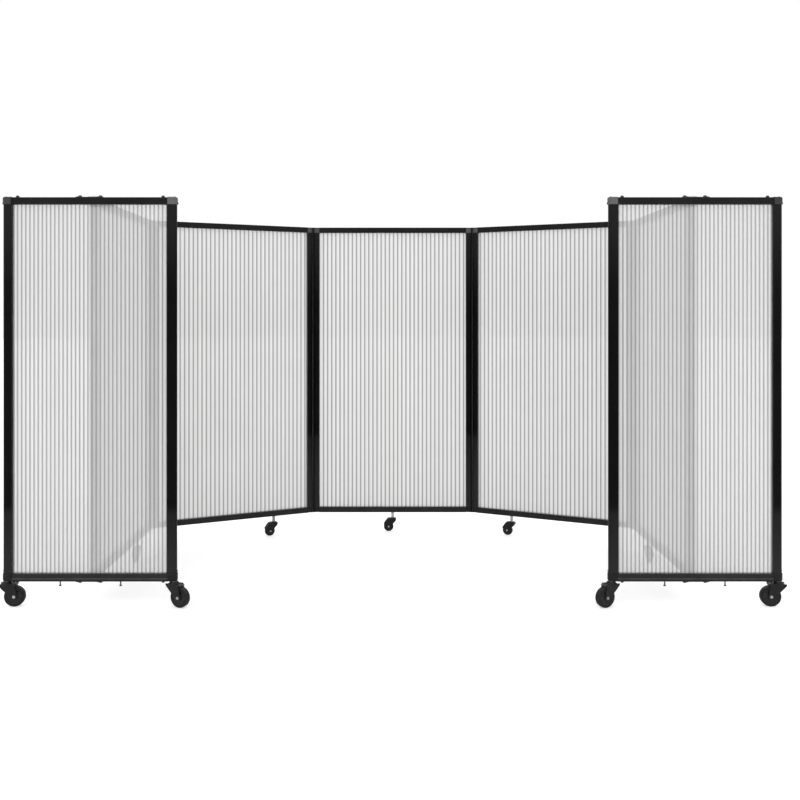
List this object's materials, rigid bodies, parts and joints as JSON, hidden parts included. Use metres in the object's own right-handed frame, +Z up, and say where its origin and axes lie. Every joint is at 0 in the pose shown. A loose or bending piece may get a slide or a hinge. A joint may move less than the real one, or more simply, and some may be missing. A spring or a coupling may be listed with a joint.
{
  "type": "accordion folding partition",
  "caption": "Mobile accordion partition: fluted translucent folding panels in black frames, hinged edge to edge, with two pivoting end panels on braked castors.",
  "frame": {"origin": "on the floor, at the centre of the footprint of the opened screen", "axes": "+X along the back panel, +Y away from the viewer towards the back panel, +Z up"},
  "size_m": [2.9288, 1.2228, 1.5313],
  "materials": {
    "frame_black": "near-black satin coat on extruded aluminium",
    "sheet": "clear fluted twin-wall plastic",
    "corner_block": "grey moulded plastic, the lower ones black",
    "corner_cap": "grey moulded plastic, the lower ones black",
    "hinge_black": "black coated steel",
    "bracket_steel": "black coated steel, pale cap over the upper pivot",
    "screw_black": "black oxide steel",
    "large_fork": "black pressed steel with a zinc stem",
    "small_fork": "black moulded hood with a steel stem",
    "large_wheel": "dark rubber tread on a grey hub",
    "small_wheel": "grey moulded wheel with a dark tread",
    "pedal": "black moulded plastic"
  },
  "bodies": {
    "centre_panel": {"centre_posts": "frame_black", "centre_rails": "frame_black", "centre_sheet": "sheet", "centre_corner_blocks": "corner_block"},
    "left_inner_panel": {"left_inner_posts": "frame_black", "left_inner_rails": "frame_black", "left_inner_sheet": "sheet", "left_inner_corner_blocks": "corner_block"},
    "left_inner_link": {"left_inner_hinge": "hinge_black"},
    "left_outer_panel": {"left_outer_posts": "frame_black", "left_outer_rails": "frame_black", "left_outer_sheet": "sheet", "left_outer_corner_blocks": "corner_block"},
    "left_outer_link": {"left_outer_hinge": "hinge_black"},
    "left_end_panel": {"left_end_posts": "frame_black", "left_end_rails": "frame_black", "left_end_sheet": "sheet", "left_end_corner_caps": "corner_cap", "left_end_pivot_brackets": "bracket_steel", "left_end_screws": "screw_black", "left_end_stop_pins": "screw_black"},
    "right_inner_panel": {"right_inner_posts": "frame_black", "right_inner_rails": "frame_black", "right_inner_sheet": "sheet", "right_inner_corner_blocks": "corner_block"},
    "right_inner_link": {"right_inner_hinge": "hinge_black"},
    "right_outer_panel": {"right_outer_posts": "frame_black", "right_outer_rails": "frame_black", "right_outer_sheet": "sheet", "right_outer_corner_blocks": "corner_block"},
    "right_outer_link": {"right_outer_hinge": "hinge_black"},
    "right_end_panel": {"right_end_posts": "frame_black", "right_end_rails": "frame_black", "right_end_sheet": "sheet", "right_end_corner_caps": "corner_cap", "right_end_pivot_brackets": "bracket_steel", "right_end_screws": "screw_black", "right_end_stop_pins": "screw_black"},
    "left_outside_castor": {"left_outside_fork": "large_fork"},
    "left_outside_roller": {"left_outside_wheel": "large_wheel"},
    "left_outside_brake_pedal": {"left_outside_pedal": "pedal"},
    "left_inside_castor": {"left_inside_fork": "large_fork"},
    "left_inside_roller": {"left_inside_wheel": "large_wheel"},
    "left_inside_brake_pedal": {"left_inside_pedal": "pedal"},
    "right_outside_castor": {"right_outside_fork": "large_fork"},
    "right_outside_roller": {"right_outside_wheel": "large_wheel"},
    "right_outside_brake_pedal": {"right_outside_pedal": "pedal"},
    "right_inside_castor": {"right_inside_fork": "large_fork"},
    "right_inside_roller": {"right_inside_wheel": "large_wheel"},
    "right_inside_brake_pedal": {"right_inside_pedal": "pedal"},
    "centre_small_castor": {"centre_small_fork": "small_fork"},
    "centre_small_roller": {"centre_small_wheel": "small_wheel"},
    "left_inner_small_castor": {"left_inner_small_fork": "small_fork"},
    "left_inner_small_roller": {"left_inner_small_wheel": "small_wheel"},
    "left_outer_small_castor": {"left_outer_small_fork": "small_fork"},
    "left_outer_small_roller": {"left_outer_small_wheel": "small_wheel"},
    "right_inner_small_castor": {"right_inner_small_fork": "small_fork"},
    "right_inner_small_roller": {"right_inner_small_wheel": "small_wheel"},
    "right_outer_small_castor": {"right_outer_small_fork": "small_fork"},
    "right_outer_small_roller": {"right_outer_small_wheel": "small_wheel"}
  },
  "joints": [
    {"name": "left_inner_near_pin", "type": "hinge", "parent": "centre_panel", "child": "left_inner_link", "pos_m": [-0.3825, 0.59919, 0.809], "axis": [0, 0, -1], "range_deg": [-77.25, 102.75]},
    {"name": "left_inner_far_pin", "type": "hinge", "parent": "left_inner_link", "child": "left_inner_panel", "pos_m": [-0.41664, 0.59147, 0.809], "axis": [0, 0, -1], "range_deg": [-77.25, 102.75]},
    {"name": "left_outer_near_pin", "type": "hinge", "parent": "left_inner_panel", "child": "left_outer_link", "pos_m": [-1.10712, 0.26213, 0.809], "axis": [0, 0, 1], "range_deg": [-122.25, 57.75]},
    {"name": "left_outer_far_pin", "type": "hinge", "parent": "left_outer_link", "child": "left_outer_panel", "pos_m": [-1.12579, 0.23253, 0.809], "axis": [0, 0, 1], "range_deg": [-122.25, 57.75]},
    {"name": "right_inner_near_pin", "type": "hinge", "parent": "centre_panel", "child": "right_inner_link", "pos_m": [0.3825, 0.59919, 0.809], "axis": [0, 0, -1], "range_deg": [-102.75, 77.25]},
    {"name": "right_inner_far_pin", "type": "hinge", "parent": "right_inner_link", "child": "right_inner_panel", "pos_m": [0.41664, 0.59147, 0.809], "axis": [0, 0, -1], "range_deg": [-102.75, 77.25]},
    {"name": "right_outer_near_pin", "type": "hinge", "parent": "right_inner_panel", "child": "right_outer_link", "pos_m": [1.10712, 0.26213, 0.809], "axis": [0, 0, 1], "range_deg": [-57.75, 122.25]},
    {"name": "right_outer_far_pin", "type": "hinge", "parent": "right_outer_link", "child": "right_outer_panel", "pos_m": [1.12579, 0.23253, 0.809], "axis": [0, 0, 1], "range_deg": [-57.75, 122.25]},
    {"name": "left_end_pivot", "type": "hinge", "parent": "left_outer_panel", "child": "left_end_panel", "pos_m": [-1.12579, -0.53247, 0.809], "axis": [0, 0, -1], "range_deg": [-90, 90]},
    {"name": "right_end_pivot", "type": "hinge", "parent": "right_outer_panel", "child": "right_end_panel", "pos_m": [1.12579, -0.53247, 0.809], "axis": [0, 0, -1], "range_deg": [-90, 90]},
    {"name": "left_outside_swivel", "type": "hinge", "parent": "left_end_panel", "child": "left_outside_castor", "pos_m": [-1.43679, -0.57047, 0.096], "axis": [0, 0, 1], "continuous": true},
    {"name": "left_outside_roll", "type": "hinge", "parent": "left_outside_castor", "child": "left_outside_roller", "pos_m": [-1.40795, -0.56744, 0.038], "axis": [-0.1045, 0.9945, 0], "continuous": true},
    {"name": "left_outside_brake", "type": "hinge", "parent": "left_outside_castor", "child": "left_outside_brake_pedal", "pos_m": [-1.40964, -0.56762, 0.083], "axis": [-0.1045, 0.9945, 0], "range_deg": [0, 12]},
    {"name": "left_inside_swivel", "type": "hinge", "parent": "left_end_panel", "child": "left_inside_castor", "pos_m": [-0.81479, -0.57047, 0.096], "axis": [0, 0, 1], "continuous": true},
    {"name": "left_inside_roll", "type": "hinge", "parent": "left_inside_castor", "child": "left_inside_roller", "pos_m": [-0.78851, -0.58273, 0.038], "axis": [0.4226, 0.9063, 0], "continuous": true},
    {"name": "left_inside_brake", "type": "hinge", "parent": "left_inside_castor", "child": "left_inside_brake_pedal", "pos_m": [-0.79005, -0.58201, 0.083], "axis": [0.4226, 0.9063, 0], "range_deg": [0, 12]},
    {"name": "right_outside_swivel", "type": "hinge", "parent": "right_end_panel", "child": "right_outside_castor", "pos_m": [1.43679, -0.57047, 0.096], "axis": [0, 0, 1], "continuous": true},
    {"name": "right_outside_roll", "type": "hinge", "parent": "right_outside_castor", "child": "right_outside_roller", "pos_m": [1.40795, -0.56744, 0.038], "axis": [-0.1045, -0.9945, 0], "continuous": true},
    {"name": "right_outside_brake", "type": "hinge", "parent": "right_outside_castor", "child": "right_outside_brake_pedal", "pos_m": [1.40964, -0.56762, 0.083], "axis": [-0.1045, -0.9945, 0], "range_deg": [0, 12]},
    {"name": "right_inside_swivel", "type": "hinge", "parent": "right_end_panel", "child": "right_inside_castor", "pos_m": [0.81479, -0.57047, 0.096], "axis": [0, 0, 1], "continuous": true},
    {"name": "right_inside_roll", "type": "hinge", "parent": "right_inside_castor", "child": "right_inside_roller", "pos_m": [0.78851, -0.58273, 0.038], "axis": [0.4226, -0.9063, 0], "continuous": true},
    {"name": "right_inside_brake", "type": "hinge", "parent": "right_inside_castor", "child": "right_inside_brake_pedal", "pos_m": [0.79005, -0.58201, 0.083], "axis": [0.4226, -0.9063, 0], "range_deg": [0, 12]},
    {"name": "centre_small_swivel", "type": "hinge", "parent": "centre_panel", "child": "centre_small_castor", "pos_m": [0, 0.59919, 0.096], "axis": [0, 0, 1], "continuous": true},
    {"name": "centre_small_roll", "type": "hinge", "parent": "centre_small_castor", "child": "centre_small_roller", "pos_m": [-0.02, 0.59919, 0.024], "axis": [0, -1, 0], "continuous": true},
    {"name": "left_inner_small_swivel", "type": "hinge", "parent": "left_inner_panel", "child": "left_inner_small_castor", "pos_m": [-0.58632, 0.51053, 0.096], "axis": [0, 0, 1], "continuous": true},
    {"name": "left_inner_small_roll", "type": "hinge", "parent": "left_inner_small_castor", "child": "left_inner_small_roller", "pos_m": [-0.60437, 0.50192, 0.024], "axis": [0.4305, -0.9026, 0], "continuous": true},
    {"name": "left_outer_small_swivel", "type": "hinge", "parent": "left_outer_panel", "child": "left_outer_small_castor", "pos_m": [-1.12579, 0.04453, 0.096], "axis": [0, 0, 1], "continuous": true},
    {"name": "left_outer_small_roll", "type": "hinge", "parent": "left_outer_small_castor", "child": "left_outer_small_roller", "pos_m": [-1.12579, 0.02453, 0.024], "axis": [1, 0, 0], "continuous": true},
    {"name": "right_inner_small_swivel", "type": "hinge", "parent": "right_inner_panel", "child": "right_inner_small_castor", "pos_m": [0.58632, 0.51053, 0.096], "axis": [0, 0, 1], "continuous": true},
    {"name": "right_inner_small_roll", "type": "hinge", "parent": "right_inner_small_castor", "child": "right_inner_small_roller", "pos_m": [0.56827, 0.51914, 0.024], "axis": [-0.4305, -0.9026, 0], "continuous": true},
    {"name": "right_outer_small_swivel", "type": "hinge", "parent": "right_outer_panel", "child": "right_outer_small_castor", "pos_m": [1.12579, 0.04453, 0.096], "axis": [0, 0, 1], "continuous": true},
    {"name": "right_outer_small_roll", "type": "hinge", "parent": "right_outer_small_castor", "child": "right_outer_small_roller", "pos_m": [1.12579, 0.02453, 0.024], "axis": [1, 0, 0], "continuous": true}
  ]
}
